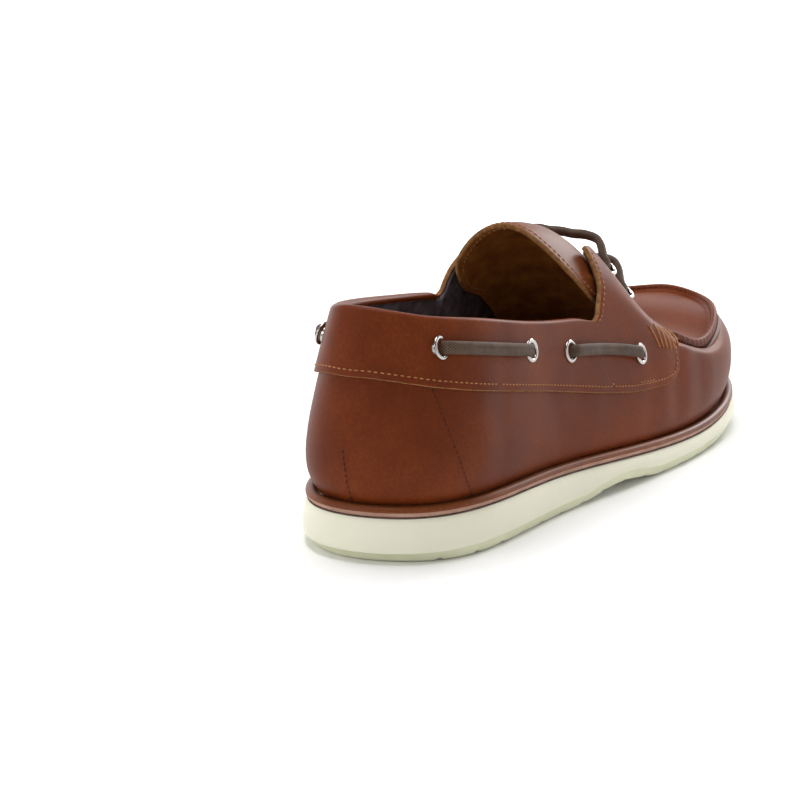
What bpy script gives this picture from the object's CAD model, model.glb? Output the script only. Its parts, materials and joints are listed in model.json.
"""Right boat shoe: leather upper, lace, eyelets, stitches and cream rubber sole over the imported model."""
import json
import logging
import math
from collections.abc import Callable, Mapping, Sequence
from dataclasses import dataclass, field
from enum import Enum

import bpy
import numpy as np
from mathutils import Matrix, Vector
from mathutils.kdtree import KDTree

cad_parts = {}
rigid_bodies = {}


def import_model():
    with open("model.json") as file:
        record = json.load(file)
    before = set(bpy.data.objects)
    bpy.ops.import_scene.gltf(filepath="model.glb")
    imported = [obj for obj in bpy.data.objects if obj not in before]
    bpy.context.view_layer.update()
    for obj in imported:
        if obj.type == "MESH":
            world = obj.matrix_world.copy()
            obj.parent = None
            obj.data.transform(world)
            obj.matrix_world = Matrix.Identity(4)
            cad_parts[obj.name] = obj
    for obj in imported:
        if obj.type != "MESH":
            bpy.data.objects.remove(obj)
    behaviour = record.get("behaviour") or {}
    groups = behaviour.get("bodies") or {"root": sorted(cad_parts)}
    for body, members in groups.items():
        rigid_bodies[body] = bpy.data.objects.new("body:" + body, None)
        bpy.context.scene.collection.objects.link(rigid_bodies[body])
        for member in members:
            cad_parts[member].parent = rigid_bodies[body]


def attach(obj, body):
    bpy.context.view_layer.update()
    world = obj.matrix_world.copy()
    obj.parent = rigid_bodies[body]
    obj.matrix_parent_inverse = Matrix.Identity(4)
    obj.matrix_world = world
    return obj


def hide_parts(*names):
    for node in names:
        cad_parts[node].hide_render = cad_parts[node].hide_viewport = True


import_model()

log = logging.getLogger("boat_shoe")
MM = 0.001
Array = np.ndarray
Tree = bpy.types.NodeTree
Socket = bpy.types.NodeSocket


class Side(Enum):
    """Side of the shoe, as the solids are named."""

    OUTER = "outer"
    INNER = "inner"

    def turn(self, around: Array | float) -> Array | float:
        """Way round on this side, for a way round on the outer side."""
        return 2 - around if self is Side.INNER else around


# ---- Shape of the shoe, from the same sections as the solids, in millimetres ----

SECTION_COLUMNS = ("outer", "inner", "foot", "bulgeIn", "bulgeUp", "collarIn", "collarUp", "lift",
                   "crestIn", "crestUp", "topIn", "topUp", "lean")
SECTIONS = np.array([
    [0.0, 0.0, 1.015, -0.037, 0.29, 0.039, 1.0, 0.0, 0.126, 1.03, 0.194, 1.03, 0.0],
    [0.262, -0.223, 1.01, -0.034, 0.29, 0.068, 0.952, 0.0, 0.121, 1.02, 0.189, 1.025, 0.0],
    [0.379, -0.345, 0.995, -0.024, 0.28, 0.053, 0.892, 0.012, 0.107, 0.985, 0.184, 1.01, 0.012],
    [0.398, -0.359, 0.92, -0.012, 0.25, 0.049, 0.784, 0.058, 0.087, 0.925, 0.165, 0.985, 0.05],
    [0.466, -0.403, 0.75, -0.008, 0.205, 0.073, 0.686, 0.04, 0.112, 0.805, 0.194, 0.968, 0.045],
    [0.495, -0.5, 0.65, -0.019, 0.146, 0.0, 0.38, 0.0, 0.029, 0.408, 0.078, 0.447, 0.0],
    [0.413, -0.466, 0.8, -0.026, 0.131, -0.024, 0.299, 0.0, 0.005, 0.349, 0.049, 0.408, 0.0],
    [0.209, -0.282, 1.0, -0.025, 0.131, -0.019, 0.263, 0.0, 0.005, 0.329, 0.049, 0.395, 0.0],
    [-0.044, -0.044, 1.1, -0.024, 0.131, -0.015, 0.248, 0.0, 0.005, 0.322, 0.058, 0.388, 0.0],
])
NOTCH_AT = {Side.OUTER: 0.437, Side.INNER: 0.424}
WING_EDGE = ((-0.012, -0.006), (0.001, 0.01), (0.009, 0.07), (0.023, 0.16), (0.034, 0.24), (0.044, 0.31),
             (0.052, 0.4), (0.056, 1.0))
BAND_EDGE = ((-0.3, 0.752), (0.015, 0.748), (0.06, 0.703), (0.11, 0.667), (0.27, 0.56), (0.415, 0.459),
             (0.49, 0.416), (0.54, 0.402), (0.577, 0.4), (0.604, 0.41), (0.62, 0.446), (0.624, 0.5),
             (0.632, 0.54), (0.646, 0.6))
BAND_FRONT = 0.645
FAR_UP = 300.0
TONGUE_EDGE = ((0.408, 1.2), (0.408, 1.1), (0.412, 1.04), (0.424, 0.93), (0.437, 0.862), (0.452, 0.8),
               (0.468, 0.755), (0.49, 0.735), (0.52, 0.71), (0.57, 0.63), (0.64, 0.54), (0.68, 0.52),
               (0.68, 1.2))
THROAT = ((0.35, 0.3), (0.45, 0.215), (0.49, 0.2), (0.55, 0.178), (0.61, 0.158), (0.63, 0.14), (0.637, 0.1))
PUNCHED_SEAMS = (
    ((0.138, 0.385), (0.16, 0.31), (0.177, 0.235), (0.194, 0.13), (0.213, 0.01)),
    ((0.0, 0.245), (0.005, 0.173), (0.008, 0.09), (0.008, 0.01)),
)
TACK_TOPS = ((0.538, 0.56), (0.549, 0.64), (0.56, 0.73), (0.571, 0.83), (0.583, 0.92), (0.596, 0.97))
TACK_FEET = ((0.547, 0.47), (0.553, 0.475), (0.559, 0.48), (0.566, 0.485), (0.574, 0.5), (0.584, 0.55))
SIDE_EYELETS = ((0.164, 0.441), (0.332, 0.433), (0.402, 0.423), (0.514, 0.417))
WING_EYELETS = ((0.52, 1.06), (0.545, 1.06))

# ---- Section of the lace: points round it, and the groove down its middle as shares of its size ----

LACE_SIDES = 28
GROOVE_DEPTH = 0.2
GROOVE_WIDTH = 0.22


def smooth(values: Array, low: float, high: float) -> Array:
    """Smooth step of values from 0 at low to 1 at high."""
    t = np.clip((np.asarray(values, float) - low) / (high - low), 0, 1)
    return t * t * (3 - 2 * t)


def unit(vectors: Array) -> Array:
    """Vectors scaled to length one, along the last axis."""
    return vectors / np.maximum(np.linalg.norm(vectors, axis=-1, keepdims=True), 1e-12)


def blend(a: Array, b: Array, slope_a: Array, slope_b: Array, t: Array) -> Array:
    """Cubic piece from a to b with the given end slopes."""
    r = 1 - t
    return a * r * r * (1 + 2 * t) + b * t * t * (3 - 2 * t) + slope_a * t * r * r - slope_b * t * t * r


class Loop:
    """Smooth closed curve through equally spaced values round the shoe, from heel to toe and back."""

    def __init__(self, outer: Array, inner: Array) -> None:
        """Joins the outer side's values and the inner side's, run backwards.

        Args:
            outer: values on the outer side from heel to toe.
            inner: values on the inner side from heel to toe.
        """
        self.values = np.concatenate([outer, inner[1:-1][::-1]])
        count = len(self.values)
        system = 4 * np.eye(count) + np.roll(np.eye(count), 1, 0) + np.roll(np.eye(count), -1, 0)
        self.slopes = np.linalg.solve(system, 3 * (np.roll(self.values, -1) - np.roll(self.values, 1)))

    def __call__(self, around: Array) -> Array:
        """Value at a way round the shoe: 0 at the heel, 1 at the toe, 2 at the heel again."""
        count = len(self.values)
        place = np.asarray(around, float) * count / 2
        step = np.floor(place).astype(int)
        i, j = step % count, (step + 1) % count
        return blend(self.values[i], self.values[j], self.slopes[i], self.slopes[j], place - step)


@dataclass(frozen=True)
class Last:
    """The shoe's outer skin and the sole's edge."""

    length: float = 298.0
    ball_width: float = 103.0
    heel_seat: float = 36.0
    foot_height: float = 20.0
    collar_rise: float = 68.5
    instep_rise: float = 76.0
    crown: float = 10.0
    rand_width: float = 4.0
    throat_dip: float = 6.0
    dip_from: float = 0.47
    dip_to: float = 0.71
    curves: dict[str, Loop] = field(default_factory=dict)

    def __post_init__(self) -> None:
        """Makes the closed curves of the section columns."""
        sizes = {"foot": self.foot_height, "bulgeUp": self.collar_rise, "collarUp": self.collar_rise,
                 "lift": self.collar_rise, "crestUp": self.instep_rise, "topUp": self.instep_rise}
        for i, name in enumerate(SECTION_COLUMNS[2:], 2):
            column = SECTIONS[:, i] * sizes.get(name, self.ball_width)
            self.curves[name] = Loop(column, column)
        self.curves["edge"] = Loop(SECTIONS[:, 0] * self.ball_width, SECTIONS[:, 1] * self.ball_width)

    def share(self, around: Array) -> Array:
        """Share of the length at a way round."""
        return (1 - np.cos(np.pi * np.asarray(around, float))) / 2

    def around_at(self, share: float) -> float:
        """Way round on the outer side at a share of the length."""
        return math.acos(1 - 2 * share) / math.pi

    def y_at(self, share: Array) -> Array:
        """Position along the shoe of a share of its length."""
        return np.asarray(share, float) * self.length - self.heel_seat

    def edge(self, around: Array, inset: Array) -> tuple[Array, Array]:
        """Plan position on the sole's top edge, moved inwards.

        Args:
            around: ways round the shoe.
            inset: distance inwards for each.

        Returns:
            The x and y positions.
        """
        x = self.curves["edge"](around)
        y = self.y_at(self.share(around))
        dx = (self.curves["edge"](around + 1e-4) - self.curves["edge"](around - 1e-4)) / 2e-4
        dy = self.length * math.pi * np.sin(np.pi * around) / 2
        size = np.hypot(dx, dy)
        return x - dy / size * inset, y + dx / size * inset

    def wall(self, around: Array, high: Array) -> Array:
        """Points of the skin below the crest, for matching arrays of way round and height."""
        around, high = np.broadcast_arrays(np.asarray(around, float), np.asarray(high, float))
        inner = np.mod(around, 2) > 1
        lift = np.where(inner, self.curves["lift"](around), 0)
        lean = np.where(inner, self.curves["lean"](around), 0)
        passed = np.clip((self.share(around) - self.dip_from) / (self.dip_to - self.dip_from), 0, 1)
        dip = self.throat_dip * np.sin(np.pi * passed) ** 2
        zero = np.zeros_like(around)
        into = np.stack([zero, self.curves["bulgeIn"](around)]
                        + [self.curves[n](around) - lean for n in ("collarIn", "crestIn", "topIn")], -1)
        up = np.stack([zero, self.curves["bulgeUp"](around)]
                      + [self.curves[n](around) + lift - share * dip
                         for n, share in (("collarUp", 0), ("crestUp", 0.6), ("topUp", 1))], -1)
        inset = self._rise(into, high) + self.rand_width
        x, y = self.edge(around, inset)
        return np.stack([x, y, self.curves["foot"](around) + self._rise(up, high)], -1)

    @staticmethod
    def _rise(values: Array, high: Array) -> Array:
        """Smooth curve through five values from foot to crest, read at a height from 0 to 1."""
        system = np.diag([2.0, 4, 4, 4, 2]) + np.diag([1.0] * 4, 1) + np.diag([1.0] * 4, -1)
        right = np.empty_like(values)
        right[..., 0] = 3 * (values[..., 1] - values[..., 0])
        right[..., 1:4] = 3 * (values[..., 2:] - values[..., :3])
        right[..., 4] = 3 * (values[..., 4] - values[..., 3])
        slopes = right @ np.linalg.inv(system).T
        place = high * 4
        step = np.clip(np.floor(place).astype(int), 0, 3)
        pick = lambda table, k: np.take_along_axis(table, k[..., None], -1)[..., 0]
        return blend(pick(values, step), pick(values, step + 1), pick(slopes, step), pick(slopes, step + 1),
                     place - step)

    def skin(self, around: Array, high: Array) -> Array:
        """Points of the skin, past height 1 on the instep and past 2 down the other side."""
        around, high = np.broadcast_arrays(np.asarray(around, float), np.asarray(high, float))
        near = self.wall(around, np.clip(high, 0, 1))
        far = self.wall(2 - around, np.clip(3 - high, 0, 1))
        share = np.clip(high - 1, 0, 1)[..., None]
        points = near * (1 - share) + far * share
        span = np.linalg.norm(near - far, axis=-1)
        arch = self.crown * self.crown_share(around) * np.clip(span / 25, 0, 1)
        points[..., 2] += arch * 4 * share[..., 0] * (1 - share[..., 0])
        return points

    def crown_share(self, around: Array) -> Array:
        """How far the instep is arched: fully at the wings, little over the toes."""
        return 1 - 0.86 * smooth(self.share(around), 0.5, 0.95)

    def normal(self, around: Array, high: Array) -> Array:
        """Outward directions of the skin."""
        d = 1e-3
        ahead = self.skin(np.add(around, d), high) - self.skin(np.subtract(around, d), high)
        upward = self.skin(around, np.add(high, d)) - self.skin(around, np.subtract(high, d))
        return unit(np.cross(ahead, upward))


LAST = Last()


# ---- A curved sheet of leather as a grid, and what is cut from it ----

def inside_polygon(points: Array, outline: Array) -> Array:
    """Signed distance of 2-D points to a closed outline, positive inside.

    Args:
        points: positions, two numbers each along the last axis.
        outline: corners of the outline in order.

    Returns:
        The distance of each point.
    """
    flat = points.reshape(-1, 2)
    start, end = outline, np.roll(outline, -1, 0)
    best = np.full(len(flat), np.inf)
    within = np.zeros(len(flat), bool)
    for a, b in zip(start, end):
        run = b - a
        t = np.clip(((flat - a) @ run) / max(float(run @ run), 1e-12), 0, 1)
        best = np.minimum(best, np.linalg.norm(flat - a - t[:, None] * run, axis=1))
        crosses = (a[1] > flat[:, 1]) != (b[1] > flat[:, 1])
        rise = run[1] if abs(run[1]) > 1e-12 else 1e-12
        within ^= crosses & (flat[:, 0] < a[0] + (flat[:, 1] - a[1]) * run[0] / rise)
    return np.where(within, best, -best).reshape(points.shape[:-1])


@dataclass
class Sheet:
    """Part of a curved grid that is kept, with points, outward directions and a depth from its edge."""

    points: Array
    normals: Array
    depth: Array
    faces: list[list[int]]

    def rim(self) -> list[tuple[int, int]]:
        """Edges that only one face uses, each running as its face does."""
        seen = {(a, b) for face in self.faces for a, b in zip(face, face[1:] + face[:1])}
        return [(a, b) for a, b in seen if (b, a) not in seen]

    def lines(self, keep: Callable[[Array], Array], least: float = 4.0) -> list[tuple[Array, Array]]:
        """Runs of rim edges whose points are kept.

        Args:
            keep: says for an array of points which ones count.
            least: shortest run returned, in millimetres.

        Returns:
            The points and outward directions of each run, in order.
        """
        wanted = keep(self.points)
        follow = {a: b for a, b in self.rim() if wanted[a] and wanted[b]}
        starts = set(follow) - set(follow.values())
        runs = []
        while follow:
            at = starts.pop() if starts else next(iter(follow))
            chain = [at]
            while at in follow:
                at = follow.pop(at)
                chain.append(at)
            line = self.points[chain]
            if np.linalg.norm(np.diff(line, axis=0), axis=1).sum() >= least:
                runs.append((line, self.normals[chain]))
        return runs


@dataclass(frozen=True)
class Crease:
    """One soft fold across the side.

    It lies at a share of the length, rises over the skin or sinks under it in millimetres, leans forward by
    its slant for each millimetre up, and runs from its low height to its top.
    """

    at: float
    rise: float
    half: float
    slant: float
    low: float
    top: float


CREASES = (
    Crease(0.545, -0.2, 4.5, 0.3, 0.12, 0.42), Crease(0.585, 0.16, 4.0, 0.25, 0.12, 0.5),
    Crease(0.618, -0.3, 4.5, 0.2, 0.15, 0.8), Crease(0.652, 0.22, 4.5, 0.15, 0.15, 0.75),
    Crease(0.69, -0.26, 5.0, 0.1, 0.2, 0.78), Crease(0.73, 0.16, 5.0, 0.05, 0.2, 0.7),
    Crease(0.3, -0.25, 7.0, -0.3, 0.12, 0.4), Crease(0.4, 0.25, 8.0, 0.2, 0.15, 0.42),
    Crease(0.12, 0.3, 6.0, 0.1, 0.15, 0.42), Crease(0.165, -0.3, 6.0, 0.15, 0.15, 0.5),
)


@dataclass
class Hide:
    """Grid over the whole upper, from one foot over the instep to the other, heel to toe."""

    seam_at: float = 0.648
    seam_fade: float = 0.022
    seam_reach: float = 20.0
    fine_step: float = 0.75
    plain_step: float = 1.7
    wall_rows: int = 31
    pucker_pitch: float = 4.4
    pucker_depth: float = 0.22
    fold_round: float = 6.0
    fold_reach: float = 14.0
    ridge: tuple[tuple[float, float], ...] = (
        (-0.55, -3.4), (-0.75, -2.5), (-1.25, -1.7), (-1.35, -0.7), (-1.3, 0.4), (-1.15, 1.4), (-0.75, 2.15),
        (-0.1, 2.5), (0.6, 2.5), (1.2, 2.15), (1.6, 1.4), (1.85, 0.6), (2.3, 0.05), (3.1, -0.1))

    def __post_init__(self) -> None:
        """Lays the grid's points and works out its outward directions."""
        self.around = self._stations()
        self.points, self.high = self._rows()
        self.columns, self.rows = self.points.shape[:2]
        self.points = self._soften(self.points)
        self.points = self._crease()
        self.normals = self._normals()
        self.ids = self._ids()
        self.side = self.points[..., 1:]
        self.tree = KDTree(self.columns * self.rows)
        for k, point in enumerate(self.points.reshape(-1, 3)):
            self.tree.insert(point, k)
        self.tree.balance()

    def read(self, points: Array, values: Array) -> Array:
        """Values of the grid read at points near it, from the three nearest grid points.

        Args:
            points: positions in millimetres.
            values: one entry per grid point, of one number or three.

        Returns:
            The value at each position.
        """
        flat = values.reshape(self.columns * self.rows, -1)
        found = []
        for point in points:
            near = self.tree.find_n(point, 3)
            weights = [1 / (distance + 1e-4) for _, _, distance in near]
            found.append(sum(flat[k] * w for (_, k, _), w in zip(near, weights)) / sum(weights))
        return np.array(found).reshape(len(found), *values.shape[2:])

    def settle(self, points: Array) -> tuple[Array, Array]:
        """Moves points onto the grid's surface, and gives the outward directions there."""
        ups = unit(self.read(points, self.normals))
        base = self.read(points, self.points)
        return points - ups * ((points - base) * ups).sum(-1, keepdims=True), ups

    def _stations(self) -> Array:
        """Ways round from heel to toe: fine where edges are cut and where the seam is gathered."""
        dense = np.linspace(0, 1, 6001)
        crest = LAST.wall(dense, np.full_like(dense, 0.6))
        step = np.linalg.norm(np.diff(crest, axis=0), axis=1)
        share = LAST.share(dense[1:])
        fine = (share > self.seam_at - 0.03) | ((share > 0.4) & (share < 0.53))
        count = np.concatenate([[0], np.cumsum(step / np.where(fine, self.fine_step, self.plain_step))])
        total = int(math.ceil(count[-1]))
        return np.interp(np.linspace(0, count[-1], total + 1), count, dense)

    def _rows(self) -> tuple[Array, Array]:
        """The grid's points, and each row's height on the skin."""
        around = self.around
        walls = np.concatenate([[0, 0.01, 0.03], np.linspace(0.06, 0.84, self.wall_rows - 3)])
        apron = np.linspace(0, 0.5, 15)[1:]
        ridge = np.array(self.ridge)
        sides = []
        for turn in (around, 2 - around):
            wall = LAST.wall(turn[:, None], walls[None, :])
            sides.append([wall, self._seam_rows(turn, ridge)])
        gap = sides[1][1][:, -1] - sides[0][1][:, -1]
        span = np.linalg.norm(gap, axis=1)
        first = np.clip(ridge[-1, 0] / np.maximum(np.linalg.norm(
            LAST.wall(around, 1) - LAST.wall(2 - around, 1), axis=1), 1e-6), 0, 0.3)
        middle = []
        for share in np.concatenate([apron, 1 - apron[-2::-1]]):
            line = sides[0][1][:, -1] + gap * share
            across = first + (1 - 2 * first) * share
            arch = LAST.crown * LAST.crown_share(around) * np.clip(span / 25, 0, 1)
            line[:, 2] += arch * 4 * (across * (1 - across) - first * (1 - first))
            middle.append(line)
        points = np.concatenate([sides[0][0], sides[0][1], np.stack(middle, 1), sides[1][1][:, ::-1],
                                 sides[1][0][:, ::-1]], axis=1)
        seam_high = np.linspace(0.86, 1.02, len(ridge))
        high = np.concatenate([walls, seam_high, 1.02 + 0.96 * np.linspace(0, 1, len(middle) + 2)[1:-1],
                               3 - seam_high[::-1], 3 - walls[::-1]])
        return points, high

    def _crease(self) -> Array:
        """The grid with the soft creases that walking leaves in the vamp and the quarters."""
        points = self.points
        side = np.where(self.high < 1.5, self.high, 3 - self.high)[None, :]
        push = np.zeros(points.shape[:2])
        for crease in CREASES:
            ahead = points[..., 1] - float(LAST.y_at(crease.at)) - crease.slant * (points[..., 2] - 40)
            window = smooth(side, crease.low - 0.1, crease.low + 0.1)
            window *= 1 - smooth(side, crease.top - 0.12, crease.top + 0.12)
            push += crease.rise * np.exp(-(ahead / crease.half) ** 2) * window
        return points + self._normals() * push[..., None]

    def _soften(self, points: Array) -> Array:
        """Rounds the fold along the wings' crests, where no seam stands on it.

        Args:
            points: the grid's points, column by row.

        Returns:
            The points, with the fold rounded over about two centimetres.
        """
        way = np.zeros(points.shape[:2])
        way[:, 1:] = np.cumsum(np.linalg.norm(np.diff(points, axis=1), axis=-1), axis=1)
        kernel = np.exp(-0.5 * ((way[:, :, None] - way[:, None, :]) / self.fold_round) ** 2)
        kernel *= np.gradient(way, axis=1)[:, None, :]
        rounded = kernel @ points / kernel.sum(2, keepdims=True)
        crest = self.wall_rows + len(self.ridge) // 2
        near = sum(np.exp(-((way - way[:, [row]]) / self.fold_reach) ** 2)
                   for row in (crest, points.shape[1] - 1 - crest))
        fade = 1 - smooth(LAST.share(self.around), self.seam_at - 0.03, self.seam_at + self.seam_fade)
        share = np.clip(near, 0, 1) * fade[:, None]
        return points + (rounded - points) * share[..., None]

    def _seam_rows(self, turn: Array, ridge: Array) -> Array:
        """Rows along the crest: the raised, gathered seam, or a rounded edge where there is none."""
        crest = LAST.wall(turn, 1)
        level = LAST.normal(turn, np.full_like(turn, 0.98))
        level[:, 2] = 0
        level = unit(level)
        fade = smooth(LAST.share(turn), self.seam_at, self.seam_at + self.seam_fade)
        arc = np.concatenate([[0], np.cumsum(np.linalg.norm(np.diff(crest, axis=0), axis=1))])
        arc = arc[-1] - arc
        wave = 0.5 - 0.5 * np.cos(2 * np.pi * arc / self.pucker_pitch)
        low = LAST.wall(turn, np.full_like(turn, 1 + ridge[0, 1] / self.seam_reach))
        over = LAST.skin(turn, 1 + np.clip(ridge[-1, 0] / np.maximum(
            np.linalg.norm(LAST.wall(2 - turn, 1) - crest, axis=1), 1e-6), 0, 0.3))
        rows = []
        for k, (into, up) in enumerate(ridge):
            t = k / (len(ridge) - 1)
            plain = low * (1 - t) ** 2 + crest * 2 * t * (1 - t) + over * t * t
            gather = self.pucker_depth * wave * math.exp(-((up - 0.9) / 1.5) ** 2) * (1 if into < 0 else 0.4)
            raised = crest - level * (into + gather)[:, None]
            raised[:, 2] += up
            rows.append(plain * (1 - fade)[:, None] + raised * fade[:, None])
        return np.stack(rows, 1)

    def _normals(self) -> Array:
        """Outward directions, smooth across the heel and the toe where both sides meet."""
        wide = np.concatenate([self.points[1:2, ::-1], self.points, self.points[-2:-1, ::-1]])
        ahead = wide[2:] - wide[:-2]
        upward = np.gradient(wide, axis=1)[1:-1]
        return unit(np.cross(ahead, upward))

    def _ids(self) -> Array:
        """Vertex numbers, with the two sides welded at the heel and the toe."""
        ids = np.arange(self.columns * self.rows).reshape(self.columns, self.rows)
        last_seam = self.wall_rows + len(self.ridge) - 1
        for column in (0, self.columns - 1):
            for j in range(self.rows):
                ids[column, j] = ids[column, min(j, self.rows - 1 - j, last_seam)]
        return ids

    def cut(self, keep: Array) -> Sheet:
        """The part of the grid where keep is not negative, cut along its zero line.

        Args:
            keep: one number per grid point.

        Returns:
            The kept part as a sheet.
        """
        points = list(self.points.reshape(-1, 3))
        normals = list(self.normals.reshape(-1, 3))
        depth = list(keep.reshape(-1))
        ids, flat = self.ids, keep.reshape(-1)
        crossing: dict[tuple[int, int], int] = {}
        faces = []

        def between(a: int, b: int) -> int:
            """Vertex where the edge from a to b crosses the zero line."""
            key = (min(a, b), max(a, b))
            if key not in crossing:
                t = float(np.clip(flat[key[0]] / (flat[key[0]] - flat[key[1]]), 0.03, 0.97))
                crossing[key] = len(points)
                points.append(points[key[0]] * (1 - t) + points[key[1]] * t)
                normals.append(unit(normals[key[0]] * (1 - t) + normals[key[1]] * t))
                depth.append(0.0)
            return crossing[key]

        corners = np.stack([ids[:-1, :-1], ids[1:, :-1], ids[1:, 1:], ids[:-1, 1:]], -1).reshape(-1, 4)
        good = flat[corners] >= 0
        for corner, ok in zip(corners[good.any(1)].tolist(), good[good.any(1)].tolist()):
            face: list[int] = []
            for k in range(4):
                a, b = corner[k], corner[(k + 1) % 4]
                if ok[k]:
                    face.append(a)
                if ok[k] != ok[(k + 1) % 4]:
                    face.append(between(a, b))
            face = [v for k, v in enumerate(face) if v != face[k - 1]]
            if len(face) > 2:
                faces.append(face)
        used = sorted({v for face in faces for v in face})
        renumber = {v: k for k, v in enumerate(used)}
        return Sheet(np.array([points[v] for v in used]), np.array([normals[v] for v in used]),
                     np.array([depth[v] for v in used]), [[renumber[v] for v in face] for face in faces])


class Cuts:
    """Distances of the grid's points to the edges of the opening, the throat, the band and the tongue."""

    def __init__(self, hide: Hide) -> None:
        """Works out each edge on the grid.

        Args:
            hide: the grid.
        """
        self.hide = hide
        self.opening = self._opening()
        self.throat = self._throat()
        low = self._side_view(BAND_EDGE, LAST.collar_rise)
        above = [(float(LAST.y_at(BAND_FRONT)), FAR_UP), (low[0][0], FAR_UP)]
        self.band = inside_polygon(hide.side, np.array(low + above))
        self.tongue = inside_polygon(hide.side, np.array(self._side_view(TONGUE_EDGE, LAST.instep_rise)))

    @staticmethod
    def _side_view(edge: Sequence[tuple[float, float]], rise: float) -> list[tuple[float, float]]:
        """Corners in side view, from shares of the length and of the height up to a rise."""
        return [(at * LAST.length - LAST.heel_seat, up * (LAST.foot_height + rise)) for at, up in edge]

    def _opening(self) -> Array:
        """Distance to the collar's edge and the wing's rear edge, positive on the leather."""
        y, z = self.hide.points[..., 1], self.hide.points[..., 2]
        keep = np.empty_like(y)
        for side, notch_at in NOTCH_AT.items():
            collar = LAST.wall(side.turn(np.linspace(0, LAST.around_at(notch_at), 60)), 0.5)
            end = collar[-1]
            mask = (self.hide.points[..., 0] < 0) == (side is Side.INNER)
            under = np.interp(y, collar[:, 1], collar[:, 2]) - z
            wing = np.array([(LAST.y_at(notch_at + back), end[2] + up * LAST.instep_rise)
                             for back, up in WING_EDGE])
            behind = (y - np.interp(z, wing[:, 1], wing[:, 0])) * 0.85
            keep[mask] = np.maximum(np.where(y < wing[1, 0] + 1, under, -1), behind)[mask]
        low_rows = (self.hide.high < 0.3) | (self.hide.high > 2.7)
        keep[:, low_rows] = np.maximum(keep[:, low_rows], 8)
        return keep

    def _throat(self) -> Array:
        """Distance to the edges of the throat, positive on the leather."""
        at = np.array(THROAT)
        y = self.hide.points[..., 1]
        half = np.interp(y, LAST.y_at(at[:, 0]), at[:, 1] * LAST.ball_width)
        beside = np.abs(self.hide.points[..., 0]) - half
        keep = np.maximum(beside, y - float(LAST.y_at(0.637)))
        walls = (self.hide.high < 0.8) | (self.hide.high > 2.2)
        keep[:, walls] = np.maximum(keep[:, walls], 8)
        return keep


# ---- Meshes ----

def new_object(name: str, mesh: bpy.types.Mesh) -> bpy.types.Object:
    """Links a mesh to the scene as an object at the origin."""
    made = bpy.data.objects.new(name, mesh)
    bpy.context.scene.collection.objects.link(made)
    return made


def mesh_object(name: str, points: Array, faces: Sequence[Sequence[int]],
                materials: Sequence[bpy.types.Material], slots: Array | None = None,
                uvs: Array | None = None) -> bpy.types.Object:
    """Makes a smooth mesh object.

    Args:
        name: name of the object.
        points: positions in millimetres.
        faces: vertex numbers of each face.
        materials: the object's materials.
        slots: material number of each face.
        uvs: two numbers for each face corner.

    Returns:
        The object.
    """
    mesh = bpy.data.meshes.new(name)
    mesh.from_pydata((np.asarray(points) * MM).tolist(), [], [list(f) for f in faces])
    for material in materials:
        mesh.materials.append(material)
    if slots is not None:
        mesh.polygons.foreach_set("material_index", np.asarray(slots, np.int32))
    if uvs is not None:
        layer = mesh.uv_layers.new(name="way")
        layer.data.foreach_set("uv", np.asarray(uvs, np.float32).ravel())
    mesh.polygons.foreach_set("use_smooth", np.ones(len(mesh.polygons), bool))
    mesh.validate()
    mesh.update()
    return new_object(name, mesh)


def relaxed(points: Array, faces: list[list[int]], fixed: list[int], rounds: int) -> Array:
    """Evens out a surface by moving each free point halfway to the mean of its neighbours.

    Args:
        points: positions in millimetres.
        faces: vertex numbers of each face.
        fixed: points that stay where they are.
        rounds: how often this is done.

    Returns:
        The new positions.
    """
    edges = {(a, b) for face in faces for a, b in zip(face, face[1:] + face[:1])}
    pairs = np.array(sorted(edges | {(b, a) for a, b in edges}))
    count = np.bincount(pairs[:, 0], minlength=len(points))[:, None]
    free = np.ones(len(points), bool)
    free[fixed] = False
    for _ in range(rounds):
        total = np.zeros_like(points)
        np.add.at(total, pairs[:, 0], points[pairs[:, 1]])
        points = np.where(free[:, None], (points + total / count) / 2, points)
    return points


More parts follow.
